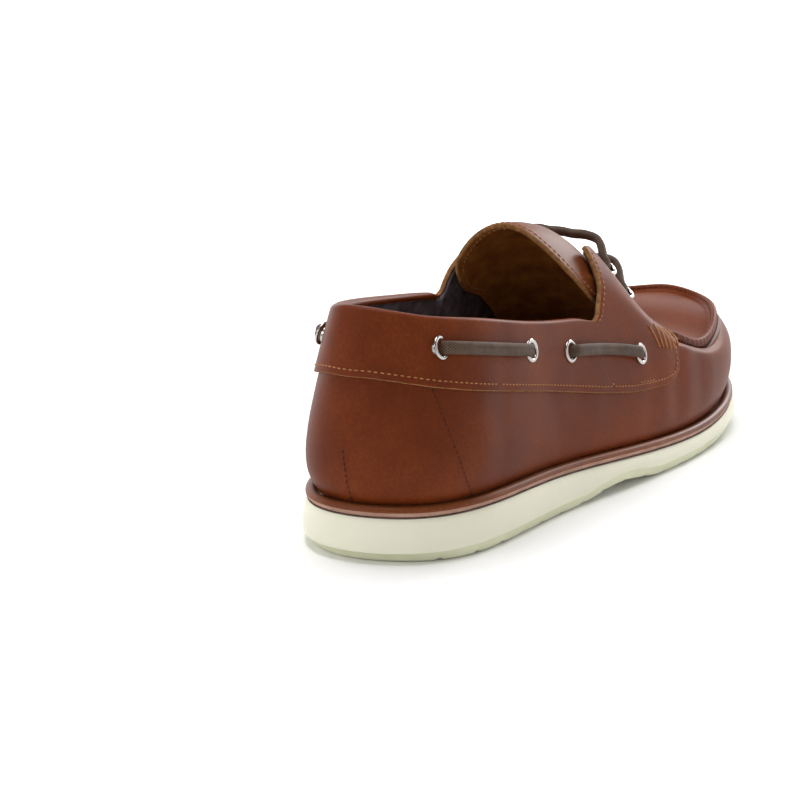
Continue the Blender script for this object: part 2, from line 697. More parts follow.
def leather_piece(name: str, sheet: Sheet, outer: Array | float, inner: Array | float, bulge: Array | float,
                  materials: Sequence[bpy.types.Material], rim_slot: Callable[[Array], Array],
                  steps: int = 4, faced: Array | None = None, relax: int = 0) -> bpy.types.Object:
    """A sheet given its thickness, with a rounded rim.

    Args:
        name: name of the object.
        sheet: the cut sheet.
        outer: height of its outer face over the skin.
        inner: height of its inner face.
        bulge: how far the rim stands out, per point.
        materials: outer face, rim and inner face, then others that rim_slot names.
        rim_slot: material number for rim points.
        steps: rings of faces round the rim.
        faced: per point, whether the inner face wears the outer face's material there.
        relax: rounds of evening out of the inner face, away from the rim.

    Returns:
        The object.
    """
    count = len(sheet.points)
    outer = np.broadcast_to(np.asarray(outer, float), count)
    inner = np.broadcast_to(np.asarray(inner, float), count)
    bulge = np.broadcast_to(np.asarray(bulge, float), count)
    rim = sheet.rim()
    away = np.zeros((count, 3))
    for a, b in rim:
        push = np.cross(sheet.points[b] - sheet.points[a], sheet.normals[a] + sheet.normals[b])
        away[a] += push
        away[b] += push
    away = unit(away)
    edge = sorted({v for pair in rim for v in pair})
    below = relaxed(sheet.points + sheet.normals * inner[:, None], sheet.faces, edge, relax)
    points = [sheet.points + sheet.normals * outer[:, None], below]
    faces = [list(f) for f in sheet.faces] + [[v + count for v in f[::-1]] for f in sheet.faces]
    under = [2 if faced is None or not all(faced[v] for v in f) else 0 for f in sheet.faces]
    slots = [0] * len(sheet.faces) + under
    place = {v: k for k, v in enumerate(edge)}
    chosen = rim_slot(sheet.points)
    levels = [lambda v: v]
    total = 2 * count
    for step in range(1, steps):
        angle = math.pi * step / steps
        middle, half = (outer[edge] + inner[edge]) / 2, (outer[edge] - inner[edge]) / 2
        points.append(sheet.points[edge] + sheet.normals[edge] * (middle + half * math.cos(angle))[:, None]
                      + away[edge] * (bulge[edge] * math.sin(angle))[:, None])
        levels.append(lambda v, base=total: base + place[v])
        total += len(edge)
    levels.append(lambda v: v + count)
    for a, b in rim:
        for upper, lower in zip(levels, levels[1:]):
            faces.append([upper(b), upper(a), lower(a), lower(b)])
            slots.append(int(chosen[a]))
    return mesh_object(name, np.concatenate(points), faces, materials, np.array(slots))


def grid_faces(rings: int, around: int, closed: bool = False) -> list[list[int]]:
    """Quads between rings of points stacked upwards.

    Args:
        rings: number of rings.
        around: points in each ring.
        closed: whether the last ring joins the first.

    Returns:
        The vertex numbers of each quad.
    """
    faces = []
    for j in range(rings if closed else rings - 1):
        low, high = j * around, (j + 1) % rings * around
        for i in range(around):
            k = (i + 1) % around
            faces.append([low + i, low + k, high + k, high + i])
    return faces


def ring_mesh(name: str, rings: Array, materials: Sequence[bpy.types.Material], closed: bool = False,
              slots: Array | None = None) -> bpy.types.Object:
    """Closed body from rings stacked upwards: both ends are closed by strips, unless they meet.

    Args:
        name: name of the object.
        rings: ring, point and position.
        materials: the object's materials.
        closed: whether the last ring joins the first.
        slots: material number for each band of faces between rings.

    Returns:
        The object.
    """
    count, around = rings.shape[:2]
    faces = grid_faces(count, around, closed)
    bands = np.zeros(count, int) if slots is None else np.asarray(slots, int)
    picks = np.repeat(bands, around)[:len(faces)].tolist()
    if not closed:
        top = (count - 1) * around
        for i in range(around // 2):
            near, near_next, far, far_next = i, i + 1, (around - i) % around, around - i - 1
            faces.append(list(dict.fromkeys([near, far, far_next, near_next])))
            faces.append([top + v for v in dict.fromkeys([near, near_next, far_next, far])])
            picks += [0, 0]
    return mesh_object(name, rings.reshape(-1, 3), faces, materials, np.array(picks))


def fine_line(points: Array, step: float) -> Array:
    """Smooth line through points, in even steps of about a given length."""
    points = np.asarray(points, float)
    ends = np.concatenate([[2 * points[0] - points[1]], points, [2 * points[-1] - points[-2]]])
    pieces = []
    for a, b, c, d in zip(ends, ends[1:], ends[2:], ends[3:]):
        t = np.linspace(0, 1, 24, endpoint=False)[:, None]
        pieces.append(0.5 * (2 * b + (c - a) * t + (2 * a - 5 * b + 4 * c - d) * t ** 2
                             + (3 * b - a - 3 * c + d) * t ** 3))
    line = np.concatenate([*pieces, points[-1:]])
    return even_line(line, step)


def even_line(line: Array, step: float) -> Array:
    """A line resampled in even steps of about a given length."""
    way = np.concatenate([[0], np.cumsum(np.linalg.norm(np.diff(line, axis=0), axis=1))])
    count = max(2, int(round(way[-1] / step)) + 1)
    at = np.linspace(0, way[-1], count)
    return np.stack([np.interp(at, way, line[:, k]) for k in range(line.shape[1])], 1)


def sweep(name: str, line: Array, ups: Array, width: float, thick: float, material: bpy.types.Material,
          ) -> bpy.types.Object:
    """Closed lace along a line, of flat oval section with a groove down its middle.

    Args:
        name: name of the object.
        line: centre points in millimetres.
        ups: outward direction at each point.
        width: across the lace.
        thick: through it.
        material: the lace's material.

    Returns:
        The object, with its UV map running round the lace in turns and along it in millimetres.
    """
    ahead = unit(np.gradient(line, axis=0))
    across = unit(np.cross(ahead, ups))
    out = unit(np.cross(across, ahead))
    count, sides = len(line), LACE_SIDES
    angle = 2 * np.pi * np.arange(sides) / sides
    groove = 1 - GROOVE_DEPTH * np.exp(-(np.sin(angle) / GROOVE_WIDTH) ** 2)
    squared = np.sign(np.cos(angle)) * np.abs(np.cos(angle)) ** 0.8 * groove
    rings = (line[:, None] + out[:, None] * (thick / 2 * squared)[None, :, None]
             + across[:, None] * (width / 2 * np.sin(angle))[None, :, None])
    way = np.concatenate([[0], np.cumsum(np.linalg.norm(np.diff(line, axis=0), axis=1))])
    faces, uvs = grid_faces(count, sides), []
    for j in range(count - 1):
        for i in range(sides):
            left, right = i / sides, (i + 1) / sides
            uvs += [(left, way[j]), (right, way[j]), (right, way[j + 1]), (left, way[j + 1])]
    for ring, order in ((0, -1), (count - 1, 1)):
        faces.append([ring * sides + i for i in range(sides)][::order])
        uvs += [(i / sides, way[ring]) for i in range(sides)][::order]
    return mesh_object(name, rings.reshape(-1, 3), faces, [material], uvs=np.array(uvs))


# ---- Materials ----

def colour(code: str) -> tuple[float, float, float, float]:
    """Linear colour of an sRGB hex code."""
    parts = [int(code[i:i + 2], 16) / 255 for i in (1, 3, 5)]
    linear = [c / 12.92 if c <= 0.04045 else ((c + 0.055) / 1.055) ** 2.4 for c in parts]
    return (*linear, 1.0)


def add_node(tree: Tree, kind: str, inputs: dict[str | int, object] | None = None,
             **settings: str) -> bpy.types.Node:
    """Adds a node to a tree.

    Args:
        tree: the node tree.
        kind: the node's type.
        inputs: input names or numbers, with a value or an output socket for each.
        settings: the node's own attributes.

    Returns:
        The node.
    """
    node = tree.nodes.new(kind)
    for key, value in settings.items():
        setattr(node, key, value)
    for key, value in (inputs or {}).items():
        if isinstance(value, Socket):
            tree.links.new(value, node.inputs[key])
        else:
            node.inputs[key].default_value = value
    return node


def maths(tree: Tree, operation: str, *values: float | Socket) -> Socket:
    """Result of a math node on numbers or sockets."""
    return add_node(tree, "ShaderNodeMath", dict(enumerate(values)), operation=operation).outputs[0]


def noise(tree: Tree, place: Socket, size_mm: float, detail: float, rough: float = 0.5) -> Socket:
    """Noise whose features are about so many millimetres wide."""
    inputs = {"Vector": place, "Scale": 1000 / size_mm, "Detail": detail, "Roughness": rough}
    return add_node(tree, "ShaderNodeTexNoise", inputs).outputs[0]


def mixed(tree: Tree, share: Socket, low: object, high: object) -> Socket:
    """Colour between two colours, by a share from 0 to 1."""
    return add_node(tree, "ShaderNodeMix", {0: share, 6: low, 7: high}, data_type="RGBA").outputs[2]


def stretched(tree: Tree, value: Socket, low: float, high: float) -> Socket:
    """Value stretched from low..high to 0..1."""
    return add_node(tree, "ShaderNodeMapRange", {0: value, 1: low, 2: high}).outputs[0]


@dataclass(frozen=True)
class Finish:
    """A material: its colours, gloss and fine relief, with the sizes of its patterns in millimetres."""

    name: str
    light: str
    dark: str
    roughness: float
    patch_mm: float = 14.0
    grain_mm: float = 0.5
    relief: float = 0.1
    relief_mm: float = 0.05
    metallic: float = 0.0
    coat: float = 0.0
    specular: float = 0.5
    gloss_spread: float = 0.14

    def make(self) -> bpy.types.Material:
        """Builds the node material: patchy colour, small grain, and uneven gloss."""
        material = bpy.data.materials.new(self.name)
        material.use_nodes = True
        tree = material.node_tree
        tree.nodes.clear()
        place = add_node(tree, "ShaderNodeTexCoord").outputs["Object"]
        patches = noise(tree, place, self.patch_mm, 4.0, 0.6)
        base = mixed(tree, stretched(tree, patches, 0.32, 0.68), colour(self.dark), colour(self.light))
        gloss = maths(tree, "MULTIPLY_ADD", patches, self.gloss_spread, self.roughness - self.gloss_spread / 2)
        shader = add_node(tree, "ShaderNodeBsdfPrincipled", {
            "Base Color": self.speckle(tree, place, base), "Metallic": self.metallic, "Roughness": gloss,
            "Specular IOR Level": self.specular, "Coat Weight": self.coat, "Coat Roughness": 0.3})
        if self.relief > 0:
            bump = add_node(tree, "ShaderNodeBump", {"Strength": self.relief, "Distance": self.relief_mm * MM,
                                                     "Height": self.height(tree, place)})
            tree.links.new(bump.outputs[0], shader.inputs["Normal"])
        add_node(tree, "ShaderNodeOutputMaterial", {"Surface": shader.outputs[0]})
        return material

    def speckle(self, tree: Tree, place: Socket, base: Socket) -> Socket:
        """Colour after any finer pattern; plain here."""
        return base

    def height(self, tree: Tree, place: Socket) -> Socket:
        """Height of the fine relief: a small even grain."""
        return noise(tree, place, self.grain_mm, 3.0, 0.55)


@dataclass(frozen=True)
class SmoothLeather(Finish):
    """Full-grain calf leather, aniline dyed and waxed: pores of about a millimetre and a soft pull-up cloud."""

    pore: str = "#5c3018"
    pore_share: float = 0.45

    def speckle(self, tree: Tree, place: Socket, base: Socket) -> Socket:
        """Darker pores on the base colour, so the hide doesn't look painted."""
        spots = stretched(tree, noise(tree, place, self.grain_mm * 2.2, 5.0, 0.7), 0.72, 0.42)
        return mixed(tree, maths(tree, "MULTIPLY", spots, self.pore_share), base, colour(self.pore))

    def height(self, tree: Tree, place: Socket) -> Socket:
        """Cells of the grain, with fine noise on them."""
        cells = add_node(tree, "ShaderNodeTexVoronoi", {"Vector": place, "Scale": 1000 / (self.grain_mm * 1.6)})
        return maths(tree, "ADD", cells.outputs[0], noise(tree, place, self.grain_mm, 3.0))


@dataclass(frozen=True)
class Weave(Finish):
    """Woven cotton lining: threads cross at a fixed spacing, so the cloth looks dull and even."""

    thread_mm: float = 0.55

    def height(self, tree: Tree, place: Socket) -> Socket:
        """Crossing threads, as waves along the three axes."""
        bands = {"Vector": place, "Scale": 1000 / self.thread_mm / 20, "Distortion": 0.6}
        waves = [add_node(tree, "ShaderNodeTexWave", bands, bands_direction=axis).outputs[1] for axis in "XYZ"]
        return maths(tree, "ADD", maths(tree, "MULTIPLY", waves[0], waves[1]), waves[2])


@dataclass(frozen=True)
class Braid(Finish):
    """Flat braided cotton lace, waxed: slanting strands that cross over each other."""

    strands: float = 14.0
    strand_mm: float = 0.55
    groove: str = "#3d2f25"
    fuzz: float = 0.35

    def _pattern(self, tree: Tree) -> Socket:
        """Height of the strands, from the way round and along the lace."""
        way = add_node(tree, "ShaderNodeUVMap", uv_map="way").outputs[0]
        split = add_node(tree, "ShaderNodeSeparateXYZ", {0: way}).outputs
        slants = []
        for sign in (1.0, -1.0):
            turned = maths(tree, "MULTIPLY", split[0], sign * self.strands * 2 * math.pi)
            phase = maths(tree, "MULTIPLY_ADD", split[1], math.pi / self.strand_mm, turned)
            slants.append(maths(tree, "SINE", phase))
        return stretched(tree, maths(tree, "MAXIMUM", *slants), -0.4, 1.0)

    def speckle(self, tree: Tree, place: Socket, base: Socket) -> Socket:
        """Darker colour between the strands."""
        return mixed(tree, self._pattern(tree), colour(self.groove), base)

    def height(self, tree: Tree, place: Socket) -> Socket:
        """Strands and the fuzz on them."""
        fuzz = noise(tree, place, self.grain_mm, 2.0)
        return maths(tree, "MULTIPLY_ADD", fuzz, self.fuzz, self._pattern(tree))


@dataclass(frozen=True)
class Paper(Finish):
    """Backdrop paper: bare under the object, lit from behind on the far side of it."""

    near_mm: float = 330.0
    far_mm: float = 900.0
    glow: float = 0.8
    away: tuple[float, float, float] = (-0.47, 0.88, 0.0)

    def make(self) -> bpy.types.Material:
        """Builds the finish, with a glow that grows away from the object's near side."""
        material = super().make()
        tree = material.node_tree
        shader = next(n for n in tree.nodes if n.type == "BSDF_PRINCIPLED")
        place = add_node(tree, "ShaderNodeTexCoord").outputs["Object"]
        away = add_node(tree, "ShaderNodeVectorMath", {0: place, 1: self.away}, operation="DOT_PRODUCT")
        share = add_node(tree, "ShaderNodeMapRange", {
            0: away.outputs[1], 1: self.near_mm * MM, 2: self.far_mm * MM, 4: self.glow,
        }, interpolation_type="SMOOTHSTEP")
        shader.inputs["Emission Color"].default_value = (1, 1, 1, 1)
        tree.links.new(share.outputs[0], shader.inputs["Emission Strength"])
        return material


@dataclass(frozen=True)
class Finishes:
    """Every material of the shoe, made once."""

    made: dict[str, bpy.types.Material] = field(default_factory=dict)

    def __post_init__(self) -> None:
        """Makes the materials."""
        for key, finish in {
            # dyed calf: warm brown with slow cloudy changes and a waxy shine
            "leather": SmoothLeather("calf_leather", "#833b15", "#67290d", 0.46, 34.0, 0.5, 0.16,
                                     coat=0.02, specular=0.1, pore="#47200c"),
            # the same hide on the tongue, a little duller
            "tongue": SmoothLeather("tongue_leather", "#80421c", "#6b3315", 0.48, 26.0, 0.5, 0.16,
                                    coat=0.03, specular=0.15, pore="#46200e"),
            # cut edge of the hide: undyed fibre, rough and light
            "edge": Finish("raw_edge", "#9c6f42", "#6f4826", 0.85, 1.6, 0.25, 0.5, 0.12, specular=0.2),
            # waxed piping leather, lighter where it is stretched over its cord
            "rand": SmoothLeather("rand_leather", "#8c4a20", "#6a3214", 0.42, 20.0, 0.45, 0.14,
                                  coat=0.05, specular=0.2, pore="#55290f"),
            # the piping's lower side, rubbed to a dusty rose by the cement
            "rand_low": Finish("rubbed_rand", "#b8917e", "#9c7766", 0.7, 7.0, 0.4, 0.2, 0.06, specular=0.2),
            # tan split leather inside the tongue, brushed
            "suede": Finish("tan_split", "#b06f30", "#8c5220", 0.8, 9.0, 0.3, 0.35, 0.12, specular=0.2),
            # dark grey cotton lining, dull
            "lining": Weave("grey_lining", "#6b6164", "#463f42", 0.95, 6.0, 0.3, 0.25, 0.06, specular=0.1),
            # vegetable-tanned sock leather, matt tan, and its cut edge
            "insole": SmoothLeather("sock_leather", "#8f5f30", "#734820", 0.6, 25.0, 0.5, 0.2, pore="#6b4220"),
            # moulded rubber: very even, faint dust in the surface; the tread a little greener
            "rubber": Finish("cream_rubber", "#f0eed8", "#ebe9d2", 0.5, 40.0, 0.35, 0.08, 0.04, specular=0.35),
            "tread": Finish("cream_tread", "#e6e7c9", "#dfe1c1", 0.6, 30.0, 0.35, 0.12, specular=0.3),
            # contact cement: a thin grey-brown line between piping and rubber
            "cement": Finish("cement_line", "#6e5d55", "#56463f", 0.7, 5.0, specular=0.2),
            # waxed cotton lace: grey-brown strands with dark grooves
            "lace": Braid("waxed_lace", "#6b5443", "#4d3b2f", 0.6, 3.0, 0.2, 0.5, 0.16, specular=0.25),
            # waxed linen thread: tan on the panels, dark on the seams below
            "thread": Finish("tan_thread", "#c08450", "#9c6134", 0.6, 0.8, 0.15, 0.4, 0.06, specular=0.3),
            "thread_dark": Finish("brown_thread", "#4a2412", "#35180b", 0.6, 0.8, 0.15, 0.4, 0.06,
                                  specular=0.3),
            # nickel-plated brass: a bright, slightly uneven mirror
            "nickel": Finish("nickel_plate", "#c4c0bb", "#b2aea9", 0.2, 8.0, 0.3, 0.03, 0.02, metallic=1.0),
        }.items():
            self.made[key] = finish.make()

    def __getitem__(self, key: str) -> bpy.types.Material:
        """The material of that name."""
        return self.made[key]


# ---- Repeated small parts ----

@dataclass(frozen=True)
class Repeat:
    """Geometry node tree that sets one small part along paths or on points, turned to the surface."""

    name: str

    def _tree(self, *sizes: str) -> tuple[Tree, Mapping[str, Socket]]:
        """A new tree with named sizes, and its input sockets by name."""
        tree = bpy.data.node_groups.new(self.name, "GeometryNodeTree")
        for in_out in ("INPUT", "OUTPUT"):
            tree.interface.new_socket("Geometry", in_out=in_out, socket_type="NodeSocketGeometry")
        for size in sizes:
            tree.interface.new_socket(size, in_out="INPUT", socket_type="NodeSocketFloat")
        return tree, tree.nodes.new("NodeGroupInput").outputs

    @staticmethod
    def _set_down(tree: Tree, points: Socket, part: Socket, along: Socket, material: bpy.types.Material,
                  scale: Socket | None = None) -> None:
        """Sets the part on every point, X along the path and Z out of the surface, and ends the tree.

        Args:
            tree: the node tree.
            points: where the part goes.
            part: the part's geometry.
            along: direction of its X at each point.
            material: its material.
            scale: its size along X, Y and Z.
        """
        up = add_node(tree, "GeometryNodeInputNamedAttribute", {"Name": "up"}, data_type="FLOAT_VECTOR")
        first = add_node(tree, "FunctionNodeAlignRotationToVector", {"Vector": along}, axis="X")
        turned = add_node(tree, "FunctionNodeAlignRotationToVector",
                          {"Rotation": first.outputs[0], "Vector": up.outputs[0]}, axis="Z", pivot_axis="X")
        inputs = {"Points": points, "Instance": part, "Rotation": turned.outputs[0]}
        if scale is not None:
            inputs["Scale"] = scale
        placed = add_node(tree, "GeometryNodeInstanceOnPoints", inputs)
        real = add_node(tree, "GeometryNodeRealizeInstances", {0: placed.outputs[0]})
        dressed = add_node(tree, "GeometryNodeSetMaterial", {"Geometry": real.outputs[0], "Material": material})
        shaded = add_node(tree, "GeometryNodeSetShadeSmooth", {0: dressed.outputs[0]})
        add_node(tree, "NodeGroupOutput", {0: shaded.outputs[0]})

    @staticmethod
    def _apply(name: str, tree: Tree, points: Array, edges: list[tuple[int, int]], ups: Array,
               values: dict[str, float], alongs: Array | None = None) -> bpy.types.Object:
        """Runs a tree on a path mesh and keeps the result as a plain mesh.

        Args:
            name: name of the object.
            tree: the node tree.
            points: path points in millimetres.
            edges: the path's edges.
            ups: outward direction at each point.
            values: the tree's sizes by name, in millimetres.
            alongs: direction of each point where there are no paths.

        Returns:
            The object.
        """
        path = bpy.data.meshes.new(name + "_path")
        path.from_pydata((points * MM).tolist(), edges, [])
        for key, data in (("up", ups), ("along", alongs)):
            if data is not None:
                path.attributes.new(key, "FLOAT_VECTOR", "POINT").data.foreach_set(
                    "vector", np.asarray(data, np.float32).ravel())
        carrier = new_object(name + "_path", path)
        modifier = carrier.modifiers.new("repeat", "NODES")
        modifier.node_group = tree
        sockets = {s.name: s.identifier for s in tree.interface.items_tree if s.in_out == "INPUT"}
        for key, value in values.items():
            modifier[sockets[key]] = value * MM
        mesh = bpy.data.meshes.new_from_object(carrier.evaluated_get(bpy.context.evaluated_depsgraph_get()))
        carrier.modifiers.clear()
        bpy.data.objects.remove(carrier)
        mesh.name = name
        return new_object(name, mesh)


@dataclass(frozen=True)
class StitchRow(Repeat):
    """Row of stitches: short rounded threads half sunk in the leather."""

    name: str = "stitch_row"
    pitch: float = 3.1
    length: float = 2.3
    thick: float = 0.62
    proud: float = 0.1

    def lay(self, name: str, lines: Sequence[tuple[Array, Array]], lift: float, thread: bpy.types.Material,
            ) -> bpy.types.Object:
        """Lays stitches along lines.

        Args:
            name: name of the object.
            lines: points and outward directions of each line, in millimetres.
            lift: height of the leather's face over those points.
            thread: the stitches' material.

        Returns:
            The object.
        """
        tree, sizes = self._tree("Pitch", "Length", "Thickness")
        curve = add_node(tree, "GeometryNodeMeshToCurve", {"Mesh": sizes["Geometry"]})
        even = add_node(tree, "GeometryNodeResampleCurve",
                        {"Curve": curve.outputs[0], "Length": sizes["Pitch"]}, mode="LENGTH")
        tangent = add_node(tree, "GeometryNodeInputTangent")
        ball = add_node(tree, "GeometryNodeMeshUVSphere", {"Segments": 6, "Rings": 5, "Radius": 0.5})
        size = add_node(tree, "ShaderNodeCombineXYZ", {0: sizes["Length"], 1: sizes["Thickness"],
                                                       2: sizes["Thickness"]})
        self._set_down(tree, even.outputs[0], ball.outputs[0], tangent.outputs[0], thread, size.outputs[0])
        edges, base = [], 0
        for line, _ in lines:
            edges += [(base + k, base + k + 1) for k in range(len(line) - 1)]
            base += len(line)
        points = np.concatenate([line + normal * (lift + self.proud) for line, normal in lines])
        return self._apply(name, tree, points, edges, np.concatenate([normal for _, normal in lines]),
                           {"Pitch": self.pitch, "Length": self.length, "Thickness": self.thick})


@dataclass(frozen=True)
class EyeletSet(Repeat):
    """Rolled metal eyelets: a rounded flange and a barrel."""

    name: str = "eyelet_set"
    flange: float = 9.0
    hole: float = 5.6
    rise: float = 1.17
    barrel_wall: float = 0.5
    barrel: float = 4.0
    sunk: float = 0.42

    def lay(self, name: str, centres: Array, ups: Array, alongs: Array, metal: bpy.types.Material,
            ) -> bpy.types.Object:
        """Sets eyelets on points.

        Args:
            name: name of the object.
            centres: middle of each flange's underside, in millimetres.
            ups: outward direction of each.
            alongs: direction along the shoe at each.
            metal: the eyelets' material.

        Returns:
            The object.
        """
        tree, sizes = self._tree("Ring Radius", "Ring Width", "Rise", "Barrel Radius", "Barrel Length")
        rings = []
        for radius, wide, tall in (("Ring Radius", sizes["Ring Width"], "Rise"),
                                   ("Barrel Radius", self.barrel_wall * MM, "Barrel Length")):
            path = add_node(tree, "GeometryNodeCurvePrimitiveCircle",
                            {"Resolution": 36, "Radius": sizes[radius]})
            section = add_node(tree, "GeometryNodeCurvePrimitiveCircle", {"Resolution": 10, "Radius": 0.5})
            size = add_node(tree, "ShaderNodeCombineXYZ", {0: wide, 1: sizes[tall]})
            shaped = add_node(tree, "GeometryNodeTransform", {"Geometry": section.outputs[0],
                                                              "Scale": size.outputs[0]})
            rings.append(add_node(tree, "GeometryNodeCurveToMesh",
                                  {"Curve": path.outputs[0], "Profile Curve": shaped.outputs[0]}).outputs[0])
        drop = maths(tree, "MULTIPLY", sizes["Barrel Length"], -self.sunk)
        low = add_node(tree, "ShaderNodeCombineXYZ", {2: drop})
        barrel = add_node(tree, "GeometryNodeTransform", {"Geometry": rings[1], "Translation": low.outputs[0]})
        both = add_node(tree, "GeometryNodeJoinGeometry", {0: rings[0]})
        tree.links.new(barrel.outputs[0], both.inputs[0])
        along = add_node(tree, "GeometryNodeInputNamedAttribute", {"Name": "along"}, data_type="FLOAT_VECTOR")
        self._set_down(tree, sizes["Geometry"], both.outputs[0], along.outputs[0], metal)
        width = (self.flange - self.hole) / 2
        return self._apply(name, tree, centres, [], ups, {
            "Ring Radius": (self.flange - width) / 2, "Ring Width": width, "Rise": self.rise,
            "Barrel Radius": (self.hole + self.barrel_wall) / 2, "Barrel Length": self.barrel}, alongs)


def finish_piece(piece: bpy.types.Object, slot: str, *nodes: str) -> bpy.types.Object:
    """Rides a piece on the shoe, names its material slot and the solids that it stands for."""
    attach(piece, "root")
    if nodes:
        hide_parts(*nodes)
    log.info("%s: %d faces", piece.name, len(piece.data.polygons))
    return piece


# ---- The shoe ----

@dataclass
class Upper:
    """Wall, collar band and tongue, with their edges and stitches."""

    finishes: Finishes
    hide: Hide
    wall: float = 2.2
    band: float = 1.5
    gap: float = 0.3
    tongue: float = 1.9
    roll: float = 1.7
    hem: float = 2.2
    set_back: float = 1.0
    facing: float = 3.2
    padding: float = 1.0
    rounding: float = 0.3
    leather_to: float = 88.0
    apron_from: float = 0.668
    tongue_proud: float = 0.35

    def build(self) -> None:
        """Builds every leather piece of the upper."""
        self.cuts = Cuts(self.hide)
        self.opening = np.minimum(self.cuts.opening, self.cuts.throat)
        self._wall()
        self._band()
        self._band_stitches()
        self._seams()
        self._tongue()

    def _wall(self) -> None:
        """The vamp, quarters and raised apron seam, over a grey lining."""
        sheet = self.hide.cut(self.opening - self.set_back)
        lining = self.finishes["lining"]
        skived = smooth(sheet.points[:, 1], 86, 94) * (1 - smooth(sheet.depth, 1, 7))
        piece = leather_piece("upper_wall", sheet, 0.0, -self.wall * (1 - 0.5 * skived), self.rounding,
                              [self.finishes["leather"], lining, lining], lambda p: np.ones(len(p)), 3)
        finish_piece(piece, "upper_leather", "upper")

    def _band(self) -> None:
        """The collar band with its wings, rolled at the collar and cut at the wings."""
        sheet = self.hide.cut(np.minimum(self.opening, self.cuts.band))
        near_band = self.hide.read(sheet.points, self.cuts.band)
        near_open = self.hide.read(sheet.points, self.opening)
        y = sheet.points[:, 1]
        rolled = 1 - smooth(y, 78, 90)
        padded = self.padding * np.sin(np.pi * np.clip(near_open / self.facing, 0, 1)) ** 0.6
        edge_inner = -0.2 - (self.wall - 0.08 + padded) * rolled
        inner = np.where(near_open < self.facing, edge_inner, 0.15)
        at_open = near_open < near_band
        bulge = np.where(at_open, self.rounding + (self.roll - self.rounding) * rolled, self.rounding)
        piece = leather_piece("collar_band_leather", sheet, self.gap + self.band, inner, bulge,
                              [self.finishes["leather"], self.finishes["edge"], self.finishes["lining"]],
                              lambda p: np.where(at_open & (p[:, 1] < self.leather_to), 0, 1), 8,
                              (near_open < self.facing + 1) & (y < 86))
        finish_piece(piece, "upper_leather", "collar_band")

    def _sew(self, name: str, row: StitchRow, lines: Sequence[tuple[Array, Array]], lift: float, thread: str,
             slot: str = "upper_leather") -> None:
        """Lays a row of stitches.

        Args:
            name: name of the piece.
            row: the stitches' sizes.
            lines: points and outward directions of each line.
            lift: height of the leather's face over them.
            thread: key of the thread's finish.
            slot: material slot.
        """
        finish_piece(row.lay(name, lines, lift, self.finishes[thread]), slot)

    def _band_stitches(self) -> None:
        """Rows along the band's lower edge and along the wings' rear edges."""
        top = self.gap + self.band
        row = StitchRow(pitch=2.3, length=1.6, thick=0.55)
        low = self.hide.cut(np.minimum(self.cuts.band - self.hem, self.opening - 3))
        near_band = self.hide.read(low.points, self.cuts.band)
        lines = low.lines(lambda p: (near_band < self.hem + 2) & (p[:, 1] < 154.5))
        self._sew("band_stitches", row, lines, top, "thread")
        wing = self.hide.cut(np.minimum(self.opening - 1.9, self.cuts.band - 3))
        near_band = self.hide.read(wing.points, self.cuts.band)
        near_throat = self.hide.read(wing.points, self.cuts.throat)
        notch = np.where(wing.points[:, 0] > 0, *(LAST.y_at(NOTCH_AT[side]) for side in Side))
        lines = wing.lines(lambda p: (near_band > 3.6) & (near_throat > 2.3) & (p[:, 1] > notch + 0.6))
        self._sew("wing_stitches", row, lines, top, "thread")

    def _seams(self) -> None:
        """Punched seams of the quarters and the heel, the tacks, and both rows along the apron seam."""
        ways = [fine_line(np.array(route), 0.01) for route in PUNCHED_SEAMS]
        lines = [self._on_hide(LAST.skin(way[:, 0], way[:, 1])) for way in ways]
        self._sew("quarter_stitches", StitchRow(pitch=2.1, length=1.5, thick=0.55), lines, 0.0, "thread_dark")
        ways = [np.linspace(top, foot, 12) for top, foot in zip(TACK_TOPS, TACK_FEET)]
        lines = [self._on_hide(LAST.skin(way[:, 0], way[:, 1])) for way in ways]
        row = StitchRow(pitch=0.9, length=1.5, thick=0.75)
        self._sew("seam_tack", row, lines, self.gap + self.band, "thread")
        outside, inside = [], []
        for side in Side:
            turn = side.turn(np.linspace(LAST.around_at(self.apron_from), 1, 140))
            crest = LAST.wall(turn, 1)
            level = LAST.normal(turn, np.full_like(turn, 0.98)) * [1, 1, 0]
            outside.append(self._on_hide(crest + unit(level) * 1.6 + [0, 0, -0.9]))
            inside.append(self._on_hide(crest - unit(level) * 1.7 + [0, 0, 1.6]))
        row = StitchRow(pitch=self.hide.pucker_pitch / 2, length=1.5, thick=0.8)
        self._sew("seam_stitches", row, outside, 0.0, "thread_dark")
        self._sew("apron_stitches", StitchRow(pitch=2.6, length=1.7, thick=0.5), inside, 0.0, "thread_dark")

    def _on_hide(self, points: Array) -> tuple[Array, Array]:
        """Line of points settled on the hide, with outward directions."""
        return self.hide.settle(even_line(points, 0.8))

    def _tongue(self) -> None:
        """The tongue: leather outside, tan split inside, stitched round its rim."""
        sheet = self.hide.cut(self.cuts.tongue)
        outer = -self.wall - self.gap
        piece = leather_piece("tongue_leather", sheet, outer, outer - self.tongue, 0.35,
                              [self.finishes["tongue"], self.finishes["edge"], self.finishes["suede"]],
                              lambda p: np.ones(len(p)), 6, relax=60)
        finish_piece(piece, "tongue_leather", "tongue")
        inside = self.hide.cut(self.cuts.tongue - 2.4)
        lines = inside.lines(lambda p: p[:, 1] < 125)
        below = [(line, -normal) for line, normal in lines]
        row = StitchRow(pitch=2.5, length=1.8, thick=0.8)
        lift = self.tongue - outer + self.tongue_proud
        self._sew("tongue_stitches", row, below, lift, "thread", "tongue_leather")
        row = StitchRow(pitch=2.5, length=1.8, thick=0.45)
        self._sew("tongue_stitches_outside", row, lines, outer, "thread", "tongue_leather")


